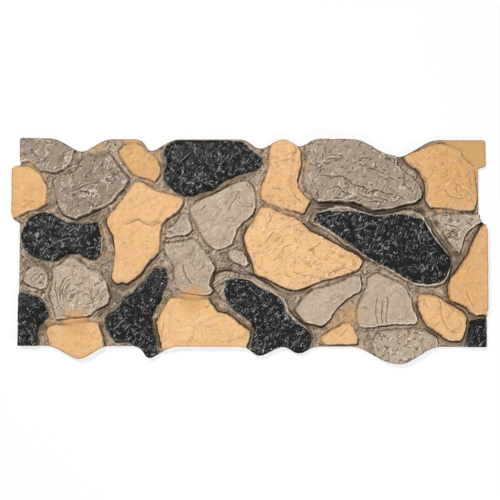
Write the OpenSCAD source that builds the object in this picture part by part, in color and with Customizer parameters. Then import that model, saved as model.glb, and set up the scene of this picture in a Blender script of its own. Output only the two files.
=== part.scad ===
// Faux stone wall panel: one moulded slab of split fieldstones set in a mortar bed.
// The top and bottom edges follow one wavy course line and the sides one stepped line,
// so that panels interlock with their neighbours.
// Millimetres, laid on its back: X along the course, Y up the wall, Z out of the wall.

/* [Panel] */
// Length of wall that one panel covers
cover_w = 1220; // [1000:10:1500]
// Height of wall that one panel covers
cover_h = 542; // [450:2:650]
// Gap left between neighbouring panels
seam_gap = 1; // [0:0.5:3]
// Thickness of the slab at the mortar joints
bed_t = 14; // [8:1:20]

/* [Relief] */
// Height of the proudest stone over the joints
relief_h = 18; // [10:1:24]
// Width of the steep side of a stone
flank_w = 3; // [2:0.5:5]
// Width of the broken edge above the side
arris_w = 6; // [3:0.5:9]
// Width of the slope from the broken edge to the face
crown_w = 18; // [10:1:26]
// Height of one cleft step on a face
cleft_h = 2.5; // [1:0.5:4]
// Height of the slow swell of a face
swell_h = 1.4; // [0:0.2:3]
// How unevenly the edges are broken, as a share of their widths
chip = 0.35; // [0:0.05:0.6]
// Longest straight stretch of a stone's outline
chord_w = 24; // [16:1:40]

/* [Interlock] */
// How far the side tab stands out
tab_w = 20; // [10:1:30]
// Rounding of the corner above the side notch
corner_w = 8; // [2:1:14]
// Rounding of the bends in the course line
bend_ease = 20; // [8:1:28]
// Rounding of the tab's corners
corner_ease = 4; // [1:0.5:8]

/* [Hidden] */

ease_steps = 5;
root_d = 3;      // how deep a stone is rooted in the bed
flank_share = 0.62; // share of the rise that the steep side takes
arris_share = 0.88; // share of the rise that is reached at the broken edge
face_keep = 0.45;   // least share of a stone's radius that stays face
heart_keep = 0.25;  // share of the radius at which the face is broken once more
chip_z = 3;         // unevenness in height of a wholly uneven edge
swell_turn = [3.4, 4.6]; // degrees that the swell turns through in each mm of X and Y

buff = "#e3b277";
taupe = "#a3958a";
jet = "#262628";
mortar = "#8f7d66";

// Course line, from left to right: place along the course, height over the course
COURSE = [
    [0, 0], [93, 0], [160, -38], [223, 0],
    [318, 0], [338, -37], [400, 0],
    [591, 0], [624, -29], [690, 4], [729, -23], [767, 0],
    [884, 0], [950, -37], [978, -44], [1002, -45], [1078, 0],
    [1220, 0]];

// Side line, from the bottom up: share of the tab that stands out, height up the panel
SIDE = [[0, 0], [0, 319], [1, 331], [1, 466], [0, 472], [0, 542]];

// Stones: paint, share of the relief, lean of the face in X and Y (mm in 100 mm),
// middle, and outline at the joint, counter-clockwise
STONES = [
    // along the top, from left to right
    [taupe, 0.72, [0, -1], [62, 500],
        [[-15, 560], [-15, 482], [14, 480], [36, 470], [52, 457], [72, 451], [92, 450],
         [112, 459], [131, 472], [136, 488], [141, 506], [152, 530], [130, 560]]],
    [buff, 0.70, [1, 0], [312, 482],
        [[256, 508], [268, 482], [282, 464], [295, 447], [310, 441], [335, 436], [352, 428],
         [365, 445], [369, 464], [362, 482], [350, 497], [332, 508], [318, 524], [300, 530],
         [270, 524]]],
    [jet, 0.66, [0, 1], [500, 470],
        [[378, 505], [389, 482], [384, 465], [379, 445], [388, 422], [404, 406], [428, 394],
         [450, 393], [476, 404], [502, 408], [520, 424], [544, 438], [570, 449], [598, 458],
         [620, 463], [634, 478], [630, 494], [612, 504], [598, 516], [582, 531], [530, 533],
         [460, 534], [404, 534], [386, 522]]],
    [buff, 0.82, [0, -1], [690, 412],
        [[652, 505], [650, 485], [650, 466], [640, 440], [631, 420], [631, 384], [646, 374],
         [668, 366], [692, 357], [716, 353], [742, 346], [750, 362], [760, 378], [744, 394],
         [728, 414], [725, 434], [732, 458], [736, 484], [733, 508], [724, 530], [706, 560],
         [672, 560], [656, 530]]],
    [taupe, 1.00, [0, -2], [890, 450],
        [[745, 512], [747, 490], [744, 462], [741, 432], [745, 412], [762, 394], [778, 377],
         [810, 377], [845, 378], [874, 373], [900, 366], [918, 356], [962, 357], [988, 365],
         [1012, 371], [1034, 375], [1049, 388], [1051, 404], [1040, 426], [1022, 444],
         [1002, 458], [988, 474], [984, 500], [972, 520], [930, 548], [884, 560], [766, 560],
         [748, 536]]],
    [buff, 0.90, [-2, -1], [1120, 440],
        [[1002, 494], [1014, 478], [1032, 467], [1046, 454], [1056, 436], [1061, 414],
         [1060, 386], [1074, 363], [1104, 362], [1135, 357], [1186, 354], [1193, 372],
         [1194, 400], [1192, 440], [1190, 462], [1178, 478], [1164, 492], [1150, 512],
         [1125, 527], [1090, 531], [1058, 520], [1026, 506]]],
    // across the middle, from left to right
    [buff, 0.74, [0, 0], [18, 405],
        [[-36, 466], [-36, 336], [0, 337], [12, 344], [22, 350], [40, 353], [54, 360],
         [68, 367], [68, 386], [70, 400], [69, 416], [62, 433], [50, 450], [36, 462],
         [20, 468], [0, 468]]],
    [taupe, 0.94, [0, -2], [186, 420],
        [[85, 430], [93, 402], [97, 380], [104, 360], [112, 345], [125, 336], [147, 329],
         [160, 336], [180, 343], [200, 355], [222, 362], [242, 375], [262, 398], [278, 416],
         [284, 434], [268, 455], [250, 478], [240, 495], [222, 506], [200, 499], [178, 496],
         [158, 482], [150, 463], [135, 449], [112, 445], [95, 441]]],
    [jet, 0.62, [0, 1], [115, 280],
        [[9, 282], [16, 259], [30, 243], [48, 229], [72, 220], [100, 224], [124, 238],
         [152, 241], [178, 227], [198, 224], [214, 236], [219, 255], [218, 280], [211, 304],
         [202, 322], [178, 320], [150, 317], [122, 321], [100, 331], [82, 340], [64, 343],
         [42, 338], [26, 326], [14, 304]]],
    [buff, 0.92, [1, 0], [302, 290],
        [[226, 323], [233, 308], [243, 290], [248, 262], [250, 235], [247, 205], [242, 176],
         [254, 160], [268, 164], [282, 160], [300, 173], [318, 186], [330, 205], [348, 226],
         [364, 245], [368, 285], [371, 314], [385, 331], [408, 346], [424, 366], [428, 382],
         [392, 397], [362, 402], [340, 414], [325, 425], [300, 426], [284, 404], [268, 382],
         [252, 362], [236, 346]]],
    [taupe, 0.52, [0, 0], [420, 309],
        [[381, 303], [382, 283], [412, 286], [440, 291], [452, 302], [446, 322], [440, 339],
         [431, 347], [422, 341], [412, 328], [396, 312]]],
    [taupe, 0.78, [-1, 1], [536, 345],
        [[444, 356], [450, 338], [460, 318], [474, 290], [486, 270], [498, 256], [517, 251],
         [540, 256], [556, 264], [562, 284], [570, 306], [588, 325], [608, 342], [616, 362],
         [616, 392], [609, 418], [598, 432], [572, 428], [545, 418], [516, 402], [490, 388],
         [462, 376]]],
    [buff, 0.98, [-1, 0], [742, 250],
        [[632, 362], [618, 344], [606, 320], [592, 302], [586, 282], [590, 258], [602, 232],
         [610, 206], [614, 188], [638, 178], [664, 166], [692, 152], [716, 146], [742, 151],
         [770, 163], [800, 173], [836, 182], [868, 193], [890, 206], [898, 224], [882, 237],
         [850, 253], [816, 272], [786, 289], [758, 302], [740, 320], [722, 334], [698, 341],
         [672, 352], [650, 363]]],
    [jet, 0.64, [0, 0], [960, 266],
        [[758, 328], [770, 316], [794, 306], [822, 288], [846, 268], [876, 250], [908, 228],
         [944, 207], [978, 190], [1002, 175], [1030, 161], [1064, 156], [1098, 160],
         [1116, 176], [1125, 202], [1128, 226], [1118, 248], [1098, 270], [1078, 300],
         [1062, 328], [1046, 350], [1030, 358], [1006, 358], [980, 351], [945, 344],
         [912, 349], [884, 359], [856, 367], [826, 369], [794, 363], [770, 350]]],
    [taupe, 0.84, [1, 1], [1142, 316],
        [[1080, 342], [1094, 320], [1104, 302], [1114, 282], [1128, 264], [1138, 250],
         [1150, 244], [1154, 264], [1160, 284], [1172, 300], [1188, 314], [1206, 326],
         [1214, 343], [1186, 346], [1150, 346], [1112, 347]]],
    // along the bottom, from left to right
    [taupe, 0.56, [0, 0], [44, 178],
        [[10, 170], [16, 161], [38, 151], [57, 144], [68, 149], [75, 162], [75, 184],
         [64, 200], [48, 210], [30, 206], [16, 190]]],
    [jet, 0.62, [0, 0], [24, 62],
        [[-12, 136], [-12, -14], [50, -14], [52, 8], [47, 28], [50, 48], [62, 64], [76, 74],
         [77, 88], [68, 106], [55, 123], [34, 131], [12, 136]]],
    [taupe, 0.80, [0, 0], [156, 146],
        [[88, 203], [86, 156], [78, 131], [86, 112], [93, 88], [98, 68], [130, 72], [160, 74],
         [188, 79], [200, 92], [214, 99], [233, 108], [239, 128], [232, 148], [226, 172],
         [214, 188], [200, 197], [181, 200], [170, 214], [154, 227], [137, 231], [122, 226],
         [117, 217], [104, 210]]],
    [buff, 0.80, [0, -1], [150, 14],
        [[72, 38], [80, 14], [92, -22], [157, -56], [222, -22], [221, 10], [216, 38],
         [208, 59], [188, 63], [150, 59], [128, 55], [96, 54], [80, 50]]],
    [jet, 0.62, [-1, 0], [312, 84],
        [[352, 203], [334, 176], [314, 157], [298, 139], [274, 126], [264, 106], [252, 92],
         [232, 82], [227, 72], [231, 46], [240, 24], [254, 11], [282, 11], [302, 4],
         [308, -30], [334, -50], [364, -24], [360, 4], [352, 32], [346, 62], [350, 88],
         [360, 106], [371, 120], [375, 142], [384, 160], [388, 182], [380, 200]]],
    [taupe, 0.72, [0, 1], [444, 206],
        [[379, 268], [379, 243], [392, 226], [404, 208], [404, 170], [410, 152], [424, 139],
         [448, 135], [478, 132], [500, 136], [506, 146], [497, 158], [498, 172], [506, 190],
         [512, 202], [496, 230], [480, 252], [466, 270], [452, 279], [428, 273], [402, 270]]],
    [buff, 0.86, [0, -1], [462, 58],
        [[358, 61], [364, 34], [371, 6], [376, -16], [592, -16], [596, 4], [602, 22],
         [604, 40], [586, 52], [564, 68], [542, 83], [520, 90], [503, 110], [494, 125],
         [478, 122], [448, 122], [420, 124], [396, 126], [380, 102], [368, 81]]],
    [taupe, 0.40, [0, 0], [571, 234],
        [[544, 246], [546, 232], [554, 221], [572, 214], [590, 205], [599, 214], [592, 234],
         [580, 249], [562, 254]]],
    [jet, 0.66, [0, 1], [642, 62],
        [[506, 166], [514, 142], [530, 124], [550, 106], [568, 90], [588, 76], [606, 60],
         [613, 40], [606, 12], [604, -16], [625, -40], [660, -24], [686, -20], [727, -34],
         [756, -14], [764, 10], [764, 32], [752, 48], [734, 63], [718, 77], [706, 92],
         [701, 106], [692, 128], [674, 144], [648, 162], [622, 177], [596, 189], [560, 195],
         [530, 196], [512, 188]]],
    [taupe, 0.86, [0, -1], [816, 124],
        [[720, 94], [730, 79], [742, 64], [764, 58], [792, 53], [804, 64], [820, 87],
         [838, 107], [856, 126], [872, 135], [890, 143], [894, 162], [889, 185], [872, 184],
         [850, 174], [824, 164], [794, 155], [768, 147], [748, 132], [732, 114]]],
    [buff, 0.70, [0, 0], [846, 32],
        [[784, 22], [796, 6], [840, 5], [882, 7], [884, 22], [877, 38], [870, 52], [860, 64],
         [843, 60], [822, 47], [800, 35]]],
    [taupe, 0.82, [0, 0], [960, 116],
        [[884, 112], [880, 78], [884, 54], [900, 48], [934, 53], [970, 57], [1010, 58],
         [1036, 60], [1036, 76], [1028, 96], [1025, 118], [1016, 140], [1004, 156],
         [984, 168], [958, 182], [934, 193], [918, 186], [910, 176], [905, 156], [896, 132]]],
    [taupe, 0.72, [0, -1], [1006, 4],
        [[920, 12], [924, -14], [944, -46], [990, -64], [1040, -44], [1084, -14], [1092, 8],
         [1088, 24], [1072, 36], [1052, 46], [1034, 47], [1005, 44], [975, 44], [948, 42],
         [930, 32]]],
    [buff, 0.90, [-1, 0], [1100, 76],
        [[1038, 108], [1040, 94], [1053, 72], [1064, 54], [1086, 40], [1108, 22], [1128, 14],
         [1150, 15], [1157, 33], [1164, 54], [1168, 75], [1156, 90], [1134, 105], [1108, 119],
         [1090, 132], [1066, 136], [1042, 135], [1041, 122]]],
    [buff, 0.88, [-1, 0], [1184, 182],
        [[1118, 156], [1119, 136], [1126, 120], [1146, 113], [1166, 102], [1176, 88],
         [1190, 82], [1212, 83], [1240, 84], [1240, 322], [1210, 318], [1196, 297],
         [1184, 276], [1176, 255], [1168, 238], [1152, 215], [1138, 196], [1124, 176]]],
    [jet, 0.50, [0, 0], [1194, 30],
        [[1172, 45], [1168, 20], [1164, -14], [1214, -14], [1215, 30], [1214, 70],
         [1195, 71], [1177, 66]]],
];

// Cleft steps: the stone that carries one, by its place in the list above, the middle
// of its upper sheet and the sheet's outline, counter-clockwise
CLEFTS = [
    [3, [692, 424], [[672, 470], [667, 440], [664, 410], [676, 384], [700, 374], [722, 374],
        [718, 396], [708, 420], [712, 456], [702, 484], [686, 474]]],
    [4, [866, 474], [[795, 447], [820, 443], [840, 447], [852, 441], [870, 424], [886, 420],
        [912, 405], [948, 408], [968, 430], [950, 470], [916, 506], [866, 520], [806, 518],
        [772, 492], [768, 462]]],
    [5, [1124, 444], [[1076, 410], [1092, 386], [1126, 394], [1160, 388], [1176, 416],
        [1172, 452], [1152, 484], [1116, 506], [1084, 500], [1060, 484], [1076, 446]]],
    [7, [150, 400], [[112, 400], [122, 372], [140, 356], [172, 362], [206, 382], [196, 408],
        [168, 414], [140, 420], [120, 418]]],
    [9, [314, 362], [[275, 317], [290, 322], [312, 332], [326, 322], [346, 315], [358, 330],
        [384, 354], [372, 376], [340, 392], [308, 404], [286, 378], [262, 344]]],
    [11, [524, 330], [[466, 350], [482, 316], [504, 280], [532, 274], [546, 304],
        [566, 334], [590, 358], [586, 392], [560, 400], [524, 384], [494, 368]]],
    [12, [726, 232], [[656, 336], [655, 300], [636, 270], [640, 226], [662, 196],
        [712, 176], [768, 188], [826, 202], [858, 222], [812, 246], [766, 262],
        [740, 286], [706, 316], [676, 330]]],
    [14, [1150, 330], [[1112, 334], [1128, 318], [1146, 312], [1166, 318], [1184, 330],
        [1176, 338], [1144, 338]]],
    [17, [136, 142], [[104, 150], [100, 128], [108, 100], [122, 88], [168, 90], [186, 104],
        [190, 132], [188, 160], [172, 184], [146, 194], [122, 184]]],
    [20, [436, 238], [[402, 256], [410, 222], [428, 212], [452, 214], [462, 236], [458, 258],
        [430, 260]]],
    [21, [468, 58], [[392, 72], [390, 36], [400, 14], [470, 10], [552, 12], [580, 28],
        [556, 52], [520, 72], [488, 98], [440, 104], [406, 100]]],
    [23, [618, 104], [[556, 150], [560, 126], [586, 102], [620, 84], [640, 44], [676, 52],
        [682, 84], [676, 108], [646, 128], [612, 142], [584, 158]]],
    [24, [806, 118], [[752, 96], [780, 76], [806, 92], [824, 116], [850, 138], [866, 160],
        [828, 152], [786, 138], [758, 120]]],
    [26, [992, 106], [[958, 128], [955, 100], [964, 74], [1014, 72], [1010, 100],
        [1002, 126], [988, 146], [970, 148]]],
    [28, [1124, 78], [[1100, 116], [1100, 80], [1106, 64], [1120, 44], [1140, 40],
        [1152, 62], [1148, 82], [1126, 98]]],
    [29, [1190, 200], [[1146, 180], [1142, 150], [1164, 132], [1184, 112], [1228, 100],
        [1232, 290], [1204, 270], [1186, 240], [1164, 210]]],
];

// The layout is drawn for a panel of this cover, and stretches with it
drawn_w = COURSE[len(COURSE) - 1][0];
drawn_h = SIDE[len(SIDE) - 1][1];

function unit(v) = v / norm(v);

// The corner at b of the line a, b, c, rounded as a curve that starts e away from it
function bend(a, b, c, e) =
    let (u = b + unit(a - b) * min(e, 0.45 * norm(a - b)),
         v = b + unit(c - b) * min(e, 0.45 * norm(c - b)))
    [for (i = [0:ease_steps]) let (t = i / ease_steps)
        (1 - t) * (1 - t) * u + 2 * t * (1 - t) * b + t * t * v];

// An open line with its inner corners rounded
function eased(line, e) = [
    line[0],
    for (i = [1:len(line) - 2]) each bend(line[i - 1], line[i], line[i + 1], e),
    line[len(line) - 1]];

function reversed(list) = [for (i = [len(list) - 1:-1:0]) list[i]];

// A point of the layout, stretched to the cover
function laid(p) = [p[0] * cover_w / drawn_w, p[1] * cover_h / drawn_h];

course_line = eased([for (p = COURSE) laid(p)], bend_ease);
side_line = eased([for (p = SIDE) [-tab_w * p[0], laid(p)[1]]], corner_ease);
course_drop = -min([for (p = course_line) p[1]]);
course_rise = max([for (p = course_line) p[1]]);
face_w = cover_w - seam_gap;
face_h = cover_h - seam_gap;

// The course line between the two side lines, at height y
function course_at(y) = [for (p = course_line) [min(p[0], face_w), p[1] + y]];

// The bends of the side line, at place x
function side_at(x) = [
    for (i = [1:len(side_line) - 2]) [side_line[i][0] + x, side_line[i][1]]];

top_line = reversed(course_at(face_h));
panel_outline = [
    each course_at(0),
    each side_at(face_w),
    each bend([face_w, face_h - 3 * corner_w], top_line[0], top_line[1], corner_w),
    for (i = [1:len(top_line) - 1]) top_line[i],
    each reversed(side_at(0))];

// An outline with a point added on the curve of each stretch longer than chord_w
function curved(line) = let (n = len(line)) [
    for (i = [0:n - 1]) let (
        a = line[(i + n - 1) % n], b = line[i], c = line[(i + 1) % n], d = line[(i + 2) % n])
    each norm(c - b) > chord_w ? [b, (9 * (b + c) - a - d) / 16] : [b]];

// Stones are rings of points, each nearer the middle c and higher than the one before.
// A line is pulled in by width w, but keeps at least a share of the radius.
function pulled(line, c, w, keep, wear) = [
    for (i = [0:len(line) - 1]) let (p = line[i])
    c + (p - c) * max(1 - w * (1 + wear[i]) / norm(p - c), keep)];

// A ring in the bed
function level(line, z) = [for (p = line) [p[0], p[1], z]];

// A ring at height z of a face that leans and swells
function swell(p) = swell_h * sin(p[0] * swell_turn[0]) * sin(p[1] * swell_turn[1]);
function on_face(line, c, z, lean, wear) = [
    for (i = [0:len(line) - 1]) let (p = line[i])
    [p[0], p[1], z + (p - c) * lean / 100 + swell(p) + chip_z * wear[i]]];

function band(k, n) = [
    for (i = [0:n - 1]) let (a = k * n + i, b = k * n + (i + 1) % n) each
        [[a, a + n, b], [b, a + n, b + n]]];

// A closed mound through the rings, whose top and bottom are fans round the middle
module mound(rings, c) {
    n = len(rings[0]);
    last = len(rings) - 1;
    low = rings[0][0][2];
    high = [for (p = rings[last]) p[2]] * [for (p = rings[last]) 1 / n];
    points = [for (r = rings) each r, [c[0], c[1], low], [c[0], c[1], high]];
    foot = (last + 1) * n;
    polyhedron(points, [
        for (k = [0:last - 1]) each band(k, n),
        for (i = [0:n - 1]) [foot, i, (i + 1) % n],
        for (i = [0:n - 1]) [foot + 1, last * n + (i + 1) % n, last * n + i]]);
}

function rise(s) = relief_h * s[1];

module stone(s) {
    c = laid(s[3]);
    line = curved([for (p = s[4]) laid(p)]);
    n = len(line);
    even = [for (i = [1:n]) 0];
    edge_wear = rands(-chip, chip, n, c[0] + c[1]);
    brow_wear = rands(-chip, chip, n, c[0] - c[1]);
    brow_w = flank_w + arris_w;
    mound([
        level(line, bed_t - root_d),
        on_face(pulled(line, c, flank_w, face_keep, even),
            c, bed_t + rise(s) * flank_share, s[2], edge_wear),
        on_face(pulled(line, c, brow_w, face_keep, edge_wear),
            c, bed_t + rise(s) * arris_share, s[2], brow_wear),
        on_face(pulled(line, c, brow_w + crown_w, face_keep, brow_wear),
            c, bed_t + rise(s), s[2], even),
        on_face(pulled(line, c, cover_w, heart_keep, even),
            c, bed_t + rise(s), s[2], even)], c);
}

module cleft(k) {
    s = STONES[k[0]];
    c = laid(k[1]);
    line = curved([for (p = k[2]) laid(p)]);
    n = len(line);
    face_z = bed_t + rise(s) + (c - laid(s[3])) * s[2] / 100;
    wear = rands(-chip, chip, n, c[0]);
    mound([
        level(line, face_z - root_d),
        on_face(pulled(line, c, cleft_h, face_keep, wear),
            c, face_z + cleft_h, s[2], [for (i = [1:n]) 0])], c);
}

module outline() {
    polygon(panel_outline);
}

// The bed and the stones run past the outline and are trimmed to it together
module bed() {
    translate([-2 * tab_w, -2 * course_drop, 0])
        cube([cover_w + 4 * tab_w, cover_h + 4 * course_drop, bed_t]);
}

module stones(paint) {
    for (s = STONES) if (s[0] == paint) stone(s);
    for (k = CLEFTS) if (STONES[k[0]][0] == paint) cleft(k);
}

module panel() {
    middle_x = (face_w - tab_w) / 2;
    middle_y = (face_h + course_rise - course_drop) / 2;
    translate([-middle_x, -middle_y, 0]) intersection() {
        linear_extrude(bed_t + 2 * relief_h) outline();
        union() {
            color(mortar) bed();
            for (paint = [buff, taupe, jet]) color(paint) stones(paint);
        }
    }
}

panel();
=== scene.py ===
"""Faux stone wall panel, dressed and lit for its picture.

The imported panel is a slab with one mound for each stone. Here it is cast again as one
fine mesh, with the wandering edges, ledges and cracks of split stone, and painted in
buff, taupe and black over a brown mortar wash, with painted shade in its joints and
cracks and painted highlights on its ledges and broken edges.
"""

import math

import bmesh
import bpy
from bpy.props import FloatProperty, FloatVectorProperty, PointerProperty
from mathutils import Matrix, Vector, noise
from mathutils.bvhtree import BVHTree


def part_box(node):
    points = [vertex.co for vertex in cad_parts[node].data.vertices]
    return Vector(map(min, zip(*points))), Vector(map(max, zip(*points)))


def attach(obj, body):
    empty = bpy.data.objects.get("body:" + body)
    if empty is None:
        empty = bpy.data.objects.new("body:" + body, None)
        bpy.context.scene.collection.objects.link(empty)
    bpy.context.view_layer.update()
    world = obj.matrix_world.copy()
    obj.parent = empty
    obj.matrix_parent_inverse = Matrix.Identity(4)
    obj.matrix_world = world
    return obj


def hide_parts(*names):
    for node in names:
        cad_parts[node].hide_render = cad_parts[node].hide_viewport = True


bl_info = {
    "name": "Faux Stone Wall Panel",
    "version": (1, 0, 0),
    "blender": (4, 5, 0),
    "location": "View3D > Sidebar > Stone Panel",
    "description": "Casts, paints and stages a moulded faux fieldstone wall panel",
    "category": "Object",
}

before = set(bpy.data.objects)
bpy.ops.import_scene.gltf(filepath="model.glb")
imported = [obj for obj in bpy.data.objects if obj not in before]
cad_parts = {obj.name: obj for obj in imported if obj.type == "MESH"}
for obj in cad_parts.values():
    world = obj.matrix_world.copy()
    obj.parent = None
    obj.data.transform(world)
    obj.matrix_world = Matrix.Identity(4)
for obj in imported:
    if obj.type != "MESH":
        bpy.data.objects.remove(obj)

MM = 0.001
PANEL = "panel"
LOW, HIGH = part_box(PANEL)
MIDDLE = Vector(((LOW.x + HIGH.x) / 2, (LOW.y + HIGH.y) / 2, 0.0))
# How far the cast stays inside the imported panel's top and sides
INSET = 0.05 * MM
# Places below are in millimetres from the lower left corner of the covered wall,
# which lies inside the panel's box by the side tab and the deepest point.
TAB, POINT = 20.0, 44.55
CORNER = Vector((LOW.x + TAB * MM, LOW.y + POINT * MM, 0.0))

BUFF, TAUPE, JET = "buff", "taupe", "jet"
# How light a paint is mixed, from -1 for its deep colour to 1 for its light one. The mix is
# partly each stone's own colour and partly painted shade: stones towards the panel's top
# edge are mixed darker.
DEEP, DULL, EVEN, PALE = -1.0, -0.5, 0.0, 0.3
# Each stone: its paint, a place on it, how light it is mixed, how broken its face is
STONES = (
    (TAUPE, (62, 500), DEEP, 0.8), (TAUPE, (186, 420), DEEP, 1.0), (BUFF, (312, 482), DEEP, 0.7),
    (JET, (500, 470), EVEN, 1.0), (BUFF, (690, 420), EVEN, 0.8), (TAUPE, (870, 450), DULL, 1.0),
    (BUFF, (1120, 440), DULL, 0.8), (BUFF, (18, 405), DULL, 0.5), (JET, (115, 280), EVEN, 1.0),
    (BUFF, (302, 290), EVEN, 0.5), (TAUPE, (420, 309), EVEN, 0.7), (TAUPE, (536, 345), PALE, 0.5),
    (BUFF, (742, 250), PALE, 0.9), (JET, (960, 266), EVEN, 0.9), (TAUPE, (1142, 316), PALE, 1.3),
    (TAUPE, (44, 178), EVEN, 1.0), (JET, (24, 62), EVEN, 1.0), (TAUPE, (156, 146), PALE, 0.9),
    (BUFF, (150, 20), EVEN, 0.5), (JET, (312, 84), PALE, 0.7), (TAUPE, (444, 206), EVEN, 0.6),
    (BUFF, (462, 58), PALE, 0.6), (TAUPE, (571, 234), PALE, 0.9), (JET, (642, 62), PALE, 1.0),
    (TAUPE, (816, 124), PALE, 0.45), (BUFF, (846, 32), EVEN, 0.5),
    (TAUPE, (960, 116), PALE, 0.35), (TAUPE, (1006, 4), EVEN, 1.1), (BUFF, (1100, 76), EVEN, 0.6),
    (BUFF, (1184, 182), DULL, 0.5), (JET, (1194, 30), PALE, 0.8),
)

# Outlines that the black paint fills: it stops short of most stones' feet
BLACK_PAINT = (
    ((373, 505), (384, 482), (380, 465), (374, 445), (383, 422), (402, 404), (428, 393),
     (450, 393), (476, 404), (502, 408), (520, 424), (544, 438), (570, 449), (598, 458),
     (620, 463), (634, 478), (630, 494), (612, 504), (598, 518), (582, 535), (530, 538),
     (460, 539), (404, 538), (382, 524)),
    ((3, 282), (9, 257), (25, 238), (48, 227), (72, 220), (100, 224), (124, 238), (152, 241),
     (178, 227), (198, 224), (211, 236), (215, 255), (214, 280), (209, 304), (202, 322),
     (178, 320), (150, 317), (122, 321), (100, 333), (82, 344), (64, 348), (42, 344), (22, 330),
     (8, 306)),
    ((767, 330), (780, 318), (800, 310), (826, 292), (848, 272), (878, 254), (912, 231),
     (946, 212), (980, 196), (1004, 180), (1034, 166), (1066, 162), (1096, 168), (1112, 182),
     (1122, 204), (1126, 226), (1116, 244), (1098, 262), (1080, 286), (1064, 312), (1050, 333),
     (1026, 337), (1004, 345), (978, 345), (950, 340), (916, 342), (886, 350), (862, 355),
     (836, 352), (800, 353), (774, 348)),
    ((-12, 136), (-12, -14), (50, -14), (52, 8), (47, 28), (50, 48), (62, 64), (76, 74), (77, 88),
     (68, 106), (55, 123), (34, 131), (12, 136)),
    ((352, 203), (334, 176), (314, 157), (298, 139), (274, 126), (264, 106), (252, 92), (232, 82),
     (227, 72), (231, 46), (240, 24), (254, 11), (282, 11), (302, 4), (308, -30), (334, -50),
     (364, -24), (360, 4), (352, 32), (346, 62), (350, 88), (360, 106), (371, 120), (375, 142),
     (384, 160), (388, 182), (380, 200)),
    ((538, 168), (535, 148), (538, 128), (550, 108), (568, 90), (588, 76), (606, 60), (613, 40),
     (606, 12), (604, -16), (625, -40), (660, -24), (686, -20), (727, -34), (756, -14), (761, 10),
     (761, 32), (748, 46), (728, 60), (710, 76), (697, 90), (692, 112), (678, 128), (656, 141),
     (630, 152), (604, 169), (580, 177), (552, 177)),
    ((1172, 45), (1168, 20), (1164, -14), (1214, -14), (1215, 30), (1214, 70), (1195, 71),
     (1177, 66)),
)

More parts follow.
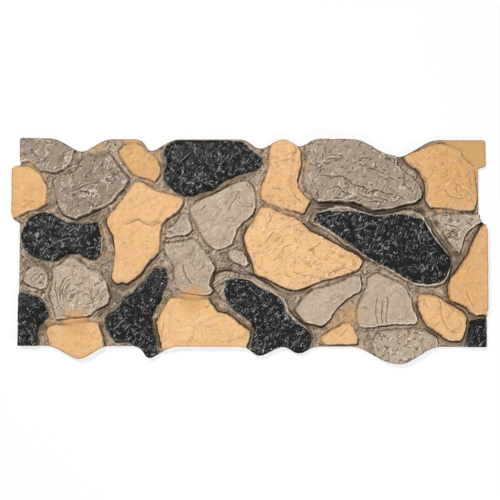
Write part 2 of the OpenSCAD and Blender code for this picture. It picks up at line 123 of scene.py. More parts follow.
# Creases of the stone faces: kind, depth or height, and the line.
# A ledge stands higher on the left of its line.
CRACK, LEDGE, RIDGE = "crack", "ledge", "ridge"
CREASES = (
    (CRACK, 1.6, ((272, 317), (290, 322), (301, 327), (313, 332), (323, 324), (334, 317),
        (347, 315), (358, 319), (375, 327))),
    (RIDGE, 0.8, ((302, 402), (300, 386), (299, 370))),
    (RIDGE, 0.6, ((336, 408), (352, 400), (366, 396))),
    (RIDGE, 1.4, ((62, 246), (82, 258), (102, 272), (120, 277), (135, 280))),
    (RIDGE, 1.0, ((108, 284), (124, 290), (138, 301), (154, 309))),
    (LEDGE, 1.0, ((210, 418), (200, 424), (185, 420), (165, 410), (150, 403), (130, 399))),
    (RIDGE, 0.8, ((132, 438), (130, 424), (133, 410))),
    (RIDGE, 0.8, ((228, 430), (231, 412), (226, 396))),
    (RIDGE, 0.8, ((122, 338), (121, 350), (123, 363))),
    (LEDGE, 1.2, ((140, 460), (152, 468), (164, 471), (170, 462))),
    (CRACK, 1.8, ((777, 449), (795, 447), (820, 443), (840, 447), (850, 442), (860, 432),
        (870, 424), (885, 420), (900, 416), (912, 405))),
    (CRACK, 1.4, ((805, 411), (818, 417), (830, 418), (838, 411), (850, 400), (869, 397))),
    (CRACK, 1.2, ((883, 400), (897, 391), (912, 388))),
    (CRACK, 1.2, ((907, 376), (923, 379), (935, 379), (945, 374))),
    (CRACK, 1.2, ((914, 404), (935, 408), (949, 401), (978, 397))),
    (CRACK, 1.2, ((921, 392), (945, 386), (964, 380))),
    (CRACK, 1.2, ((907, 467), (931, 462), (954, 452))),
    (CRACK, 1.1, ((964, 443), (974, 438), (983, 435))),
    (CRACK, 1.2, ((978, 403), (997, 391), (1006, 381))),
    (CRACK, 1.0, ((845, 385), (860, 380), (868, 385))),
    (CRACK, 1.1, ((752, 476), (770, 474), (784, 479), (790, 468), (788, 458))),
    (CRACK, 1.0, ((796, 488), (812, 492), (826, 490))),
    (CRACK, 1.2, ((912, 470), (924, 466), (930, 458))),
    (CRACK, 1.2, ((938, 448), (948, 442), (958, 436))),
    (CRACK, 0.9, ((884, 490), (900, 492), (914, 497))),
    (RIDGE, 0.8, ((982, 492), (984, 474), (996, 461), (1014, 456), (1028, 440), (1040, 420),
        (1042, 400))),
    (CRACK, 1.2, ((972, 410), (984, 404), (996, 402))),
    (CRACK, 1.0, ((900, 393), (912, 390), (924, 384))),
    (CRACK, 1.0, ((1004, 422), (1012, 414), (1020, 416))),
    (CRACK, 1.3, ((1106, 414), (1116, 400), (1126, 392), (1140, 388), (1160, 389))),
    (CRACK, 0.8, ((1134, 428), (1142, 422), (1150, 416))),
    (RIDGE, 1.0, ((1148, 420), (1164, 414), (1176, 404), (1186, 390))),
    (RIDGE, 0.9, ((1164, 492), (1172, 482), (1180, 472), (1186, 462))),
    (RIDGE, 1.0, ((1061, 410), (1060, 388), (1074, 364))),
    (CRACK, 1.2, ((672, 482), (675, 473), (670, 463))),
    (CRACK, 1.0, ((662, 411), (680, 412), (686, 400))),
    (RIDGE, 0.8, ((690, 456), (700, 450), (712, 447))),
    (CRACK, 1.0, ((716, 398), (724, 386), (738, 376))),
    (CRACK, 1.2, ((652, 352), (657, 338), (650, 325), (640, 317))),
    (CRACK, 0.8, ((664, 302), (656, 292), (646, 282), (642, 274))),
    (RIDGE, 0.9, ((664, 336), (658, 320), (655, 300), (645, 290))),
    (CRACK, 0.7, ((683, 245), (685, 256), (695, 262), (712, 267))),
    (CRACK, 1.3, ((750, 249), (765, 257), (776, 264), (785, 273))),
    (CRACK, 0.6, ((655, 224), (670, 230), (682, 238))),
    (CRACK, 1.2, ((804, 192), (822, 198), (842, 206), (856, 206), (872, 196))),
    (RIDGE, 0.9, ((855, 218), (868, 210), (880, 203))),
    (CRACK, 0.6, ((712, 196), (740, 186), (770, 186))),
    (LEDGE, 1.0, ((575, 403), (566, 384), (552, 362), (545, 352))),
    (RIDGE, 0.8, ((515, 365), (524, 380), (532, 395))),
    (CRACK, 1.0, ((472, 355), (480, 362), (486, 370))),
    (RIDGE, 0.7, ((500, 296), (510, 306), (522, 312))),
    (CRACK, 1.6, ((594, 424), (598, 418), (597, 412))),
    (LEDGE, 1.0, ((380, 301), (400, 298), (410, 291), (430, 287), (450, 296))),
    (CRACK, 1.5, ((430, 216), (431, 204), (432, 194), (438, 183), (448, 170), (456, 162))),
    (RIDGE, 1.0, ((467, 264), (466, 250), (465, 236), (458, 222), (454, 208))),
    (RIDGE, 0.8, ((402, 258), (412, 264), (428, 266))),
    (LEDGE, 1.3, ((195, 98), (193, 110), (189, 125), (189, 140), (193, 152))),
    (LEDGE, 1.0, ((112, 110), (108, 124), (108, 144), (112, 162), (120, 176), (132, 186))),
    (LEDGE, 0.9, ((120, 106), (115, 124), (115, 144), (120, 160), (128, 170), (140, 178))),
    (LEDGE, 0.8, ((128, 112), (122, 126), (122, 144), (128, 158), (138, 166))),
    (RIDGE, 0.9, ((100, 198), (114, 200), (130, 203))),
    (RIDGE, 0.9, ((146, 188), (154, 194), (164, 198))),
    (LEDGE, 1.0, ((100, 170), (98, 150), (102, 132), (106, 112), (114, 98))),
    (LEDGE, 1.6, ((960, 55), (954, 68), (953, 85), (956, 103), (957, 118), (955, 134))),
    (LEDGE, 1.2, ((946, 56), (941, 70), (941, 86), (944, 102), (945, 122))),
    (LEDGE, 1.2, ((932, 58), (928, 74), (927, 94), (928, 112), (931, 132))),
    (RIDGE, 1.0, ((968, 138), (971, 150), (978, 159), (990, 162), (1002, 157), (1011, 141))),
    (LEDGE, 1.5, ((1095, 127), (1098, 110), (1100, 80), (1105, 65), (1112, 52), (1122, 44),
        (1136, 39), (1147, 39))),
    (CRACK, 1.2, ((1054, 127), (1058, 114), (1066, 103))),
    (CRACK, 1.2, ((1162, 146), (1169, 132), (1178, 115), (1186, 103))),
    (CRACK, 1.0, ((1172, 214), (1168, 200), (1170, 190))),
    (RIDGE, 0.8, ((438, 44), (454, 56), (470, 70), (482, 81))),
    (CRACK, 1.0, ((377, 62), (376, 42), (379, 22))),
    (CRACK, 1.0, ((484, 107), (491, 102), (498, 109))),
    (CRACK, 1.1, ((833, 26), (844, 37), (857, 52))),
    (CRACK, 1.3, ((998, 18), (1007, 27), (1006, 36))),
    (CRACK, 1.4, ((1099, 346), (1108, 344), (1118, 343))),
    (LEDGE, 1.2, ((1108, 321), (1126, 316), (1142, 312))),
    (LEDGE, 1.0, ((1118, 305), (1130, 300), (1144, 296))),
    (LEDGE, 1.0, ((1126, 290), (1136, 284), (1148, 280))),
    (CRACK, 1.0, ((1164, 341), (1175, 335), (1184, 333))),
    (CRACK, 1.0, ((1164, 326), (1174, 322), (1182, 316))),
    (RIDGE, 1.0, ((444, 424), (462, 440), (480, 458))),
    (RIDGE, 1.0, ((414, 476), (430, 490), (446, 506))),
    (RIDGE, 0.9, ((520, 470), (534, 484), (548, 500))),
    (RIDGE, 0.9, ((870, 300), (892, 308), (912, 320), (936, 324))),
    (RIDGE, 0.9, ((800, 340), (822, 342), (846, 348))),
    (RIDGE, 0.8, ((244, 40), (262, 56), (280, 74))),
    (RIDGE, 0.8, ((600, 150), (622, 134), (640, 118))),
    (CRACK, 0.8, ((12, 380), (26, 376), (40, 378))),
    (CRACK, 1.6, ((541, 197), (560, 196), (580, 190), (600, 188), (612, 184), (630, 178),
        (648, 168), (664, 156), (680, 148), (696, 138), (708, 136), (724, 144), (745, 147),
        (756, 151))),
    (CRACK, 1.4, ((541, 199), (549, 211), (560, 220), (571, 214), (585, 203), (596, 191))),
    (RIDGE, 1.4, ((541, 172), (560, 176), (590, 177), (604, 172), (620, 162), (640, 155),
        (656, 148), (670, 136), (682, 124), (690, 112), (694, 96), (695, 76))),
    (CRACK, 1.8, ((716, 90), (724, 76), (736, 64), (760, 60), (780, 54), (796, 50))),
    (RIDGE, 1.2, ((706, 84), (716, 68), (732, 57), (750, 50), (764, 38))),
    (CRACK, 1.2, ((604, 44), (602, 22), (596, 4))),
    (RIDGE, 1.0, ((504, 160), (520, 175), (540, 186))),
    (CRACK, 1.2, ((502, 148), (520, 162), (538, 170))),
    (CRACK, 1.2, ((512, 126), (518, 142), (530, 154))),
    (RIDGE, 1.4, ((768, 350), (790, 352), (810, 358), (836, 362), (860, 362), (884, 352),
        (900, 346), (930, 342), (960, 344), (985, 346), (1002, 355), (1020, 350), (1040, 340))),
    (RIDGE, 1.0, ((812, 338), (826, 346), (840, 352), (862, 354), (880, 346), (892, 340))),
    (RIDGE, 1.4, ((1046, 352), (1056, 335), (1066, 315), (1080, 290), (1094, 268), (1110, 250),
        (1120, 232))),
    (CRACK, 2.0, ((1072, 334), (1084, 310), (1100, 290), (1108, 275), (1120, 262), (1132, 248),
        (1142, 242), (1160, 240))),
    (CRACK, 1.0, ((770, 363), (792, 361), (815, 366))),
    (RIDGE, 1.2, ((756, 322), (780, 316), (800, 304), (812, 296), (836, 284), (862, 268),
        (884, 254))),
    (CRACK, 1.6, ((762, 308), (790, 296), (820, 275), (850, 260), (880, 243), (906, 228))),
)

# Joints that are deeper and darker than the rest, darkened with painted shade: a line along
# each, and its reach
DEEP_JOINTS = (
    (9, ((770, 378), (815, 376), (850, 377), (880, 370), (905, 360), (930, 354), (965, 355),
        (1000, 366), (1040, 376), (1056, 384))),
    (9, ((1000, 490), (1018, 474), (1034, 466), (1050, 444), (1056, 420), (1056, 390),
        (1072, 362))),
    (9, ((1210, 318), (1186, 284), (1172, 252), (1152, 222), (1136, 202), (1122, 178),
        (1114, 154), (1122, 122), (1146, 110), (1166, 98), (1186, 80), (1214, 78))),
    (8, ((140, 326), (170, 334), (206, 352), (110, 342), (100, 352))),
    (8, ((224, 326), (236, 298), (246, 270))),
    (9, ((240, 172), (254, 156), (284, 156), (306, 172), (334, 206), (356, 232))),
    (8, ((450, 386), (480, 398), (510, 406), (545, 434), (580, 446), (612, 454))),
    (9, ((586, 310), (586, 280), (596, 240), (612, 190), (640, 174), (700, 146), (730, 144),
        (752, 150))),
    (9, ((716, 90), (732, 72), (760, 56), (794, 52))),
    (8, ((742, 342), (762, 362), (766, 380))),
    (8, ((750, 318), (790, 292), (830, 264), (880, 240), (906, 226))),
    (8, ((232, 152), (240, 128), (234, 104), (214, 92))),
    (8, ((218, 58), (224, 30), (222, 4))),
    (8, ((356, 62), (362, 34), (370, 6))),
    (9, ((500, 116), (522, 92), (560, 72), (600, 44))),
    (8, ((1036, 110), (1048, 76), (1064, 52), (1090, 34), (1124, 12), (1150, 12))),
    (8, ((1160, 10), (1166, 40), (1174, 70), (1190, 76), (1212, 72))),
    (8, ((1064, 330), (1086, 292), (1112, 262), (1132, 240), (1150, 240))),
    (8, ((52, 355), (76, 364), (86, 372))),
    (7, ((60, 60), (52, 40), (54, 16))),
    (8, ((504, 130), (508, 160), (516, 196), (548, 200))),
    (7, ((374, 500), (386, 478), (378, 450), (384, 420))),
)

# Paint that was sprayed past its stone: paint, middle, reach, strength
OVERSPRAY = (
    (BUFF, (1200, 520), 76, 1.3), (BUFF, (1214, 450), 58, 1.4), (BUFF, (1142, 545), 52, 1.3),
    (BUFF, (1214, 400), 46, 1.4), (BUFF, (196, 532), 50, 0.6), (BUFF, (290, 546), 46, 0.8),
    (BUFF, (455, 124), 56, 0.8), (BUFF, (150, 62), 60, 0.8), (BUFF, (612, 320), 24, 0.4),
    (BUFF, (566, 290), 20, 0.4), (BUFF, (582, 60), 26, 0.4), (BUFF, (862, 84), 56, 0.55),
    (BUFF, (824, 60), 40, 0.5), (BUFF, (1046, 60), 24, 0.4), (BUFF, (60, 440), 24, 0.4),
    (BUFF, (24, 470), 26, 0.6), (BUFF, (222, 300), 30, 0.4), (BUFF, (226, 240), 24, 0.4),
    (BUFF, (628, 400), 20, 0.3), (BUFF, (748, 470), 22, 0.5), (BUFF, (1100, 352), 24, 0.4),
    (BUFF, (640, 530), 24, 0.4), (BUFF, (1172, 240), 26, 0.5), (BUFF, (392, 96), 26, 0.4),
    (BUFF, (590, 24), 20, 0.5), (BUFF, (78, 60), 22, 0.5), (BUFF, (360, 500), 22, 0.4),
    (BUFF, (1012, 30), 30, 0.3), (JET, (880, 372), 30, 0.9), (JET, (800, 366), 32, 0.9),
    (JET, (1046, 352), 26, 0.8), (JET, (220, 110), 24, 0.5), (JET, (150, 216), 26, 0.5),
    (JET, (1180, 76), 14, 0.4), (JET, (1166, 30), 20, 0.5), (JET, (66, 50), 22, 0.6),
    (JET, (524, 176), 22, 0.5), (JET, (700, 120), 18, 0.4), (JET, (200, 338), 20, 0.5),
    (JET, (372, 470), 18, 0.5), (JET, (940, 360), 26, 0.8), (JET, (1000, 362), 26, 0.8),
    (JET, (1085, 318), 18, 0.7), (JET, (1112, 280), 16, 0.6), (JET, (232, 140), 26, 0.5),
    (JET, (246, 158), 20, 0.5), (JET, (270, 158), 30, 0.6), (JET, (252, 128), 28, 0.6),
    (JET, (560, 182), 24, 0.5), (JET, (610, 176), 20, 0.4), (JET, (730, 62), 18, 0.5),
)


def laid(place):
    """A place of the layout, in metres on the panel."""
    return CORNER + Vector((place[0] * MM, place[1] * MM, 0.0))


def eased(value, low, high):
    """0 below low, 1 above high, and smooth between them."""
    t = min(max((value - low) / (high - low), 0.0), 1.0)
    return t * t * (3.0 - 2.0 * t)


def bell(value, middle, width):
    """1 at the middle, falling off over the width on both sides."""
    return math.exp(-(((value - middle) / width) ** 2))


def sway(place):
    """Smooth noise along each axis, the same in each run."""
    return Vector((noise.noise(place), noise.noise(place + Vector((31.4, 47.2, 11.9))),
                   noise.noise(place + Vector((71.7, 13.8, 59.3)))))


class Lines:
    """Level lines on the panel that can be asked for the nearest point on them."""

    def __init__(self, lines):
        corners, sheets, self.owners, self.spans = [], [], [], []
        for owner, line in enumerate(lines):
            for k in range(len(line) - 1):
                a, b = line[k], line[k + 1]
                first = len(corners)
                corners += [(p.x, p.y, z) for p, z in ((a, -1), (b, -1), (b, 1), (a, 1))]
                sheets.append(range(first, first + 4))
                self.owners.append(owner)
                self.spans.append((a, b, k / (len(line) - 1), 1 / (len(line) - 1)))
        self.tree = BVHTree.FromPolygons(corners, [tuple(s) for s in sheets])

    def nearest(self, place, reach=1.0):
        """Owner, nearest point and distance of the nearest line within reach."""
        point, _, index, distance = self.tree.find_nearest(
            Vector((place.x, place.y, 0.0)), reach
        )
        if point is None:
            return None, None, reach, None
        return self.owners[index], point, distance, index

    def along(self, index, point):
        """How far along its whole line a point lies, 0 to 1, and the line's direction."""
        a, b, start, share = self.spans[index]
        way = (b - a).xy
        t = (point - a).xy.dot(way) / max(way.length_squared, 1e-12)
        return start + share * min(max(t, 0.0), 1.0), way.normalized()


class Mould:
    """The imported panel: its height, its stones and their feet at any place."""

    def __init__(self):
        bm = bmesh.new()
        bm.from_mesh(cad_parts[PANEL].data)
        bmesh.ops.remove_doubles(bm, verts=bm.verts, dist=0.002 * MM)
        bm.normal_update()
        bm.faces.ensure_lookup_table()
        self.bed = self.bed_level(bm)
        self.tree = BVHTree.FromBMesh(bm)
        self.stone_of = self.label(bm)
        self.feet, self.foot_stone = self.foot_lines(bm)
        self.edge = Lines(
            [[e.verts[0].co.copy(), e.verts[1].co.copy()] for e in bm.edges
             if e.verts[0].co.z < 0.01 * MM and e.verts[1].co.z < 0.01 * MM
             and any(abs(f.normal.z) < 0.5 for f in e.link_faces)]
        )
        bm.free()

    @staticmethod
    def bed_level(bm):
        """The height that most of the flat upper surface shares."""
        area = {}
        for f in bm.faces:
            if f.normal.z > 0.9999:
                z = round(f.calc_center_median().z, 5)
                area[z] = area.get(z, 0.0) + f.calc_area()
        return max(area, key=area.get)

    def on_bed(self, face):
        return face.normal.z > 0.99 and all(
            abs(v.co.z - self.bed) < 0.02 * MM for v in face.verts
        )

    def label(self, bm):
        """The stone that each face above the bed belongs to, by the face's index."""
        owner = {}
        for number, (_, place, _, _) in enumerate(STONES):
            index = self.tree.ray_cast(laid(place) + Vector((0, 0, 1)), Vector((0, 0, -1)))[2]
            front = [bm.faces[index]]
            if self.on_bed(front[0]) or index in owner:
                raise RuntimeError(f"no stone of its own at {place}")
            while front:
                face = front.pop()
                if face.index in owner or face.normal.z < 0.02 or self.on_bed(face):
                    continue
                owner[face.index] = number
                front += [g for e in face.edges for g in e.link_faces]
        return owner

    def foot_lines(self, bm):
        """The lines where stones meet the bed, and the stone of each."""
        lines, stones = [], []
        for e in bm.edges:
            over = [f for f in e.link_faces if f.index in self.stone_of]
            under = [f for f in e.link_faces if self.on_bed(f)]
            if over and under:
                lines.append([v.co.copy() for v in e.verts])
                stones.append(self.stone_of[over[0].index])
        return Lines(lines), stones

    def below(self, place):
        """Height and stone under a place: no height outside, no stone on the bed."""
        hit, _, index, _ = self.tree.ray_cast(
            Vector((place.x, place.y, 1.0)), Vector((0, 0, -1))
        )
        if hit is None:
            return None, None
        return hit.z, self.stone_of.get(index)

    def foot(self, place):
        """Way into the stone in mm (less than 0 in the joints), inward direction, stone."""
        number, point, distance, _ = self.feet.nearest(place)
        inside = self.below(place)[1] is not None
        away = (Vector((place.x, place.y, 0.0)) - Vector((point.x, point.y, 0.0)))
        way = away.normalized() if away.length > 1e-7 else Vector((0, 0, 0))
        stone = self.foot_stone[number]
        return (distance / MM, way, stone) if inside else (-distance / MM, -way, stone)

    def outside(self, place):
        """Distance in mm to the panel's edge: less than 0 inside."""
        distance = self.edge.nearest(place)[2] / MM
        return distance if self.below(place)[0] is None else -distance


def wandered(place, shape):
    """A place moved by the slow and quick wander of the stones' edges."""
    p = Vector((place.x, place.y, 0.0))
    slow = sway(p / shape.wander_size + Vector((3.1, 7.7, 1.3)))
    quick = sway(p / shape.wander_size * 3.1 + Vector((9.2, 1.4, 5.5)))
    move = slow * shape.wander + quick * shape.wander * 1.2
    return Vector((p.x + move.x, p.y + move.y, 0.0))


def inside_of(outline, x, y):
    """Whether a place is inside a closed outline."""
    odd = False
    for k, (x1, y1) in enumerate(outline):
        x0, y0 = outline[k - 1]
        if (y0 > y) != (y1 > y) and x < x0 + (x1 - x0) * (y - y0) / (y1 - y0):
            odd = not odd
    return odd


class BlackPaint:
    """The black paint's patches: the way into the nearest one."""

    def __init__(self):
        self.edges = Lines(
            [[laid(p) for p in patch] + [laid(patch[0])] for patch in BLACK_PAINT]
        )

    def way_in(self, place):
        """Distance in mm to the patch's edge, more than 0 on the paint."""
        number, _, distance, _ = self.edges.nearest(place)
        x, y = (place.x - CORNER.x) / MM, (place.y - CORNER.y) / MM
        inside = inside_of(BLACK_PAINT[number], x, y)
        return distance / MM if inside else -min(distance / MM, 40.0)


class Creases:
    """The cracks, ledges and ridges of the stone faces."""

    def __init__(self):
        self.lines = Lines([[laid(p) for p in line] for _, _, line in CREASES])

    def near(self, place):
        return self.lines.nearest(place, 0.03)[2] / MM

    def relief(self, place, width):
        """Height in mm that a crease adds, and its painted light: 1 for painted shade, -1 for a
        painted highlight.
        """
        number, point, distance, index = self.lines.nearest(place, 0.03)
        if number is None:
            return 0.0, 0.0
        kind, depth, _ = CREASES[number]
        t, way = self.lines.along(index, point)
        fade = eased(t, -0.02, 0.08) * eased(1.0 - t, -0.02, 0.08)
        left = way.x * (place.y - point.y) - way.y * (place.x - point.x) > 0
        d = distance / MM if left else -distance / MM
        if kind == RIDGE:
            width *= 0.75
            return fade * depth * bell(d, 0.0, width), -fade * bell(d, 0.0, width)
        if kind == CRACK:
            width *= 0.65 + 0.35 * depth
            d = d if way.x > 0 else -d
        lift = depth * math.copysign(math.exp(-abs(d) / 9.0), d)
        wear = fade * (bell(d, -width, width) - 0.7 * bell(d, width, width))
        if kind == CRACK:
            return fade * depth * (0.5 * lift / depth - 0.8 * bell(d, 0.0, width)), wear
        return fade * 1.3 * lift, wear


def ink_and_shade_at(place, joints):
    """How much dark wash and painted shade the joint gets at a place, 0 to 1, most along the deep
    joints.
    """
    number, _, distance, _ = joints.nearest(place, 0.02)
    deep = 0.0 if number is None else 1.0 - eased(
        distance / MM, 0.7 * DEEP_JOINTS[number][0], 1.6 * DEEP_JOINTS[number][0]
    )
    p = Vector((place.x, place.y, 0.0)) / 0.035
    return min(1.0, 0.30 + 0.25 * noise.noise(p) + 0.75 * deep)


def away_from_key(way):
    """How much a foot faces away from the key lamp, judged by the given way into the stone, 0 to
    1: such feet get a painted highlight along the stone's edge and a heavier painted shadow
    beside them.
    """
    return 0.25 + 0.75 * eased(way.dot(Vector((-0.75, 0.66, 0.0))), -0.2, 0.8)


def sprayed(place):
    """Paint blown past the stones at a place: buff and black shares."""
    shares = {BUFF: 0.0, JET: 0.0}
    for paint, middle, reach, strength in OVERSPRAY:
        distance = (Vector((place.x, place.y, 0.0)) - laid(middle)).length / MM
        if distance < reach:
            share = strength * (1.0 - eased(distance, 0.2 * reach, reach))
            shares[paint] = max(shares[paint], share)
    return shares[BUFF], shares[JET]


def flakes(place, size, tilt, jump, turn):
    """Height in mm of flat flakes of a size, each leaning and set off in its own way."""
    p = Vector((place.x, place.y, 0.0)) / size + Vector((turn, 2.0 * turn, 0.0))
    p += 0.5 * sway(p * 1.3)
    heart = noise.voronoi(p)[1][0]
    lean = sway(heart * 3.7 + Vector((turn, turn, turn)))
    return tilt * size / MM * (p - heart).dot(Vector((lean.x, lean.y, 0.0))) + jump * lean.z


FLAKES = {
    # paint: size, tilt and jump of the large flakes, then of the small ones
    TAUPE: ((0.044, 0.36, 2.4), (0.018, 0.10, 0.2)),
    BUFF: ((0.048, 0.28, 1.6), (0.020, 0.08, 0.2)),
    JET: ((0.036, 0.24, 1.3), (0.014, 0.14, 0.3)),
}


def grain(place, paint, broken, way_in, shape):
    """Height in mm of the broken grain of a stone's face, mostly below it."""
    p = Vector((place.x, place.y, 0.0))
    large, small = FLAKES[paint]
    lift = flakes(place, *large, 1.7) + flakes(place, *small, 4.3) - 0.6
    chips = max(0.0, noise.noise(p / 0.012 + Vector((5, 1, 1)))) * bell(way_in, 4.5, 4.5)
    depth = shape.grain * (0.3 + 0.7 * broken) * lift
    return depth * eased(way_in, -0.5, 7.0) - shape.chip * broken * chips


def joint_relief(place, way_out, ink_and_shade, shape):
    """Height in mm of the mortar's trowelled ridges beside a stone."""
    p = Vector((place.x, place.y, 0.0))
    swell = 0.6 * noise.fractal(p / 0.020, 0.9, 2.0, 3) + flakes(place, 0.014, 0.3, 0.5, 8.1)
    stray = 5.0 * noise.noise(p / 0.03 + Vector((4, 4, 4)))
    ridge = bell(way_out + stray, 8.0, 2.6)
    groove = bell(way_out, 0.0, 2.4)
    return shape.ridge * ridge + swell - (0.6 + 2.8 * ink_and_shade) * groove


def refined(bm, mould, creases, shape):
    """Cuts the grid's squares in four where an edge, a foot or a crease passes."""
    near = []
    for e in bm.edges:
        middle = (e.verts[0].co + e.verts[1].co) / 2
        place = wandered(middle, shape)
        way_in = mould.foot(place)[0]
        if (-2.5 < way_in < 4.0 or mould.outside(middle) > -3.0
                or creases.near(place) < 3.0):
            near.append(e)
    bmesh.ops.subdivide_edges(bm, edges=near, cuts=1, use_grid_fill=True)


def trimmed(bm, mould, limit):
    """Takes off what lies further outside the panel than the limit, in mm."""
    away = [v for v in bm.verts if mould.outside(v.co) > limit]
    bmesh.ops.delete(bm, geom=away, context="VERTS")


def snapped(bm, mould, shape):
    """Draws vertices onto the panel's edge and onto the stones' feet and shoulders."""
    reach = shape.grid / MM / 4
    for v in bm.verts:
        if v.is_boundary:
            point = mould.edge.nearest(v.co)[1]
            v.co.xy = point.xy
            continue
        way_in, way, _ = mould.foot(wandered(v.co, shape))
        for line in (0.0, shape.flank / MM):
            if abs(way_in - line) < reach:
                v.co += way * ((line - way_in) * MM)


def raised(bm, mould, creases, shape):
    """Lifts the grid to the stones' relief and writes down where each paint, painted shade and
    painted highlight goes.
    """
    layers = bm.verts.layers
    way_in_layer = layers.float.new("way_in")
    black_layer = layers.float.new("black")
    broken_layer = layers.float.new("broken")
    wear_layer = layers.float.new("wear")
    ink_and_shade_layer = layers.float.new("ink_and_shade")
    paint_layer = layers.float_color.new("paint")
    spray_and_shade_side_layer = layers.float_color.new("spray_and_shade_side")
    black = BlackPaint()
    joints = Lines([[laid(p) for p in line] for _, line in DEEP_JOINTS])
    ceiling = (HIGH.z - INSET) / MM
    for v in bm.verts:
        flat = Vector((v.co.x, v.co.y, 0.0))
        calm = eased(-mould.outside(flat), 0.5, 9.0)
        place = flat.lerp(wandered(flat, shape), calm)
        if v.is_boundary:
            inward = MIDDLE - flat
            place = flat + inward.normalized() * INSET
        way_in, way, stone = mould.foot(place)
        crisp = shape.crisp * eased(way_in, 0.0, 1.6) * (1.0 - eased(way_in, 3.0, 14.0))
        crisp *= 1.0 + 1.4 * noise.noise(flat / 0.045 + Vector((2, 6, 4)))
        z, _ = mould.below(place + way * crisp)
        z = (mould.bed if z is None else z) / MM
        paint, _, tone_and_shade, broken = STONES[stone]
        # Dark wash over all joints, with painted shade added along the deep ones
        ink_and_shade = ink_and_shade_at(flat, joints)
        # A crease adds relief and the place of its painted shade and painted highlight
        lift, wear = creases.relief(place, shape.crease / MM)
        if way_in > 0:
            z += lift + grain(place, paint, broken, way_in, shape)
        else:
            z += lift + joint_relief(place, -way_in, ink_and_shade, shape)
        v.co.z = min(max(z, 4.0), ceiling) * MM
        v[way_in_layer] = max(-40.0, min(way_in, 60.0))
        v[black_layer] = black.way_in(place)
        v[broken_layer] = broken
        v[wear_layer] = wear
        v[ink_and_shade_layer] = ink_and_shade
        # The fourth share is the paint's mix, with the painted shade of the upper stones in it
        v[paint_layer] = (paint == BUFF, paint == TAUPE, paint == JET, 0.5 + 0.5 * tone_and_shade)
        buff_share, black_share = sprayed(flat)
        border = min(1.0, -mould.outside(flat) / 20.0)
        # Third share: how much the foot faces away from the key lamp, for its painted highlight
        # and shadow
        v[spray_and_shade_side_layer] = (buff_share, black_share, away_from_key(way), border)


def walled(bm):
    """Draws the sides down to the back and closes it."""
    rim = [e for e in bm.edges if e.is_boundary]
    for share in (0.7, 0.35, 0.0):
        grown = bmesh.ops.extrude_edge_only(bm, edges=rim)["geom"]
        for v in (g for g in grown if isinstance(g, bmesh.types.BMVert)):
            v.co.z *= share
        rim = [g for g in grown if isinstance(g, bmesh.types.BMEdge) and g.is_boundary]
    back = bmesh.ops.edgeloop_fill(bm, edges=rim, mat_nr=1)["faces"]
    bmesh.ops.triangulate(bm, faces=back)


class PanelShape(bpy.types.PropertyGroup):
    """Sizes of the cast relief"""

    grid: FloatProperty(name="Grid", description="Width of the widest mesh square",
                        default=3.4 * MM, min=3.0 * MM, subtype="DISTANCE")
    flank: FloatProperty(name="Flank", description="Width of a stone's steep side",
                         default=1.7 * MM, subtype="DISTANCE")
    crisp: FloatProperty(name="Crispness", description="How far the edges are squared up",
                         default=3.5 * MM, subtype="DISTANCE")
    wander: FloatProperty(name="Wander", description="How far a stone's edge strays",
                          default=1.5 * MM, subtype="DISTANCE")
    wander_size: FloatProperty(name="Wander size", description="Length of one stray",
                               default=24.0 * MM, subtype="DISTANCE")
    crease: FloatProperty(name="Crease", description="Half width of a crack",
                          default=1.5 * MM, subtype="DISTANCE")
    grain: FloatProperty(name="Grain", description="Strength of the broken faces",
                         default=1.0)
    chip: FloatProperty(name="Chips", description="Depth of chipped edges in mm",
                        default=2.2)
    ridge: FloatProperty(name="Ridges", description="Height of mortar ridges in mm",
                         default=1.1)


def colour(name, description, value):
    return FloatVectorProperty(name=name, description=description, subtype="COLOR",
                               size=4, min=0.0, max=1.0, default=(*value, 1.0))


class PanelPaint(bpy.types.PropertyGroup):
    """Colours of the paints"""

    buff_light: colour("Light buff", "Sprayed buff where it is light", (0.88, 0.555, 0.28))
    buff_deep: colour("Deep buff", "Sprayed buff where it is thick", (0.68, 0.37, 0.14))
    # Umber also stands for painted shade in the buff's ledges and cracks
    umber: colour("Umber", "Stain in the cracks of the buff", (0.30, 0.14, 0.045))
    dust: colour("Dust", "Buff blown past its stones", (0.64, 0.37, 0.15))
    taupe_light: colour("Light taupe", "Taupe where it is light", (0.60, 0.47, 0.34))
    taupe_deep: colour("Deep taupe", "Taupe where it is dark", (0.32, 0.245, 0.185))
    mortar_light: colour("Light mortar", "Mortar on its ridges", (0.50, 0.39, 0.28))
    # The deep mortar colour is also the painted shade of the deep joints
    mortar_deep: colour("Deep mortar", "Mortar in its hollows", (0.14, 0.10, 0.065))
    black: colour("Black", "Gloss black paint", (0.005, 0.005, 0.005))
    # The dry-brushed grey also stands for painted glints on the black
    dash: colour("Dash", "Dry-brushed grey on the black", (0.50, 0.51, 0.50))
    # The primer on the lips also stands for painted highlights on ledges and ridges
    lip: colour("Lip", "Dry-brushed primer on the stones' ledges", (0.86, 0.78, 0.66))
    # The dark wash also stands for painted shade and shadow at the feet, ledges and cracks
    ink_and_shade: colour("Ink", "Dark wash at the feet of the stones", (0.035, 0.022, 0.012))
    # The pale primer also stands for painted highlights on the stones' edges and mortar ridges
    rim: colour("Rim", "Bare primer along the broken edges", (0.92, 0.82, 0.70))
    foam: colour("Foam", "Unpainted foam of the back", (0.62, 0.50, 0.34))


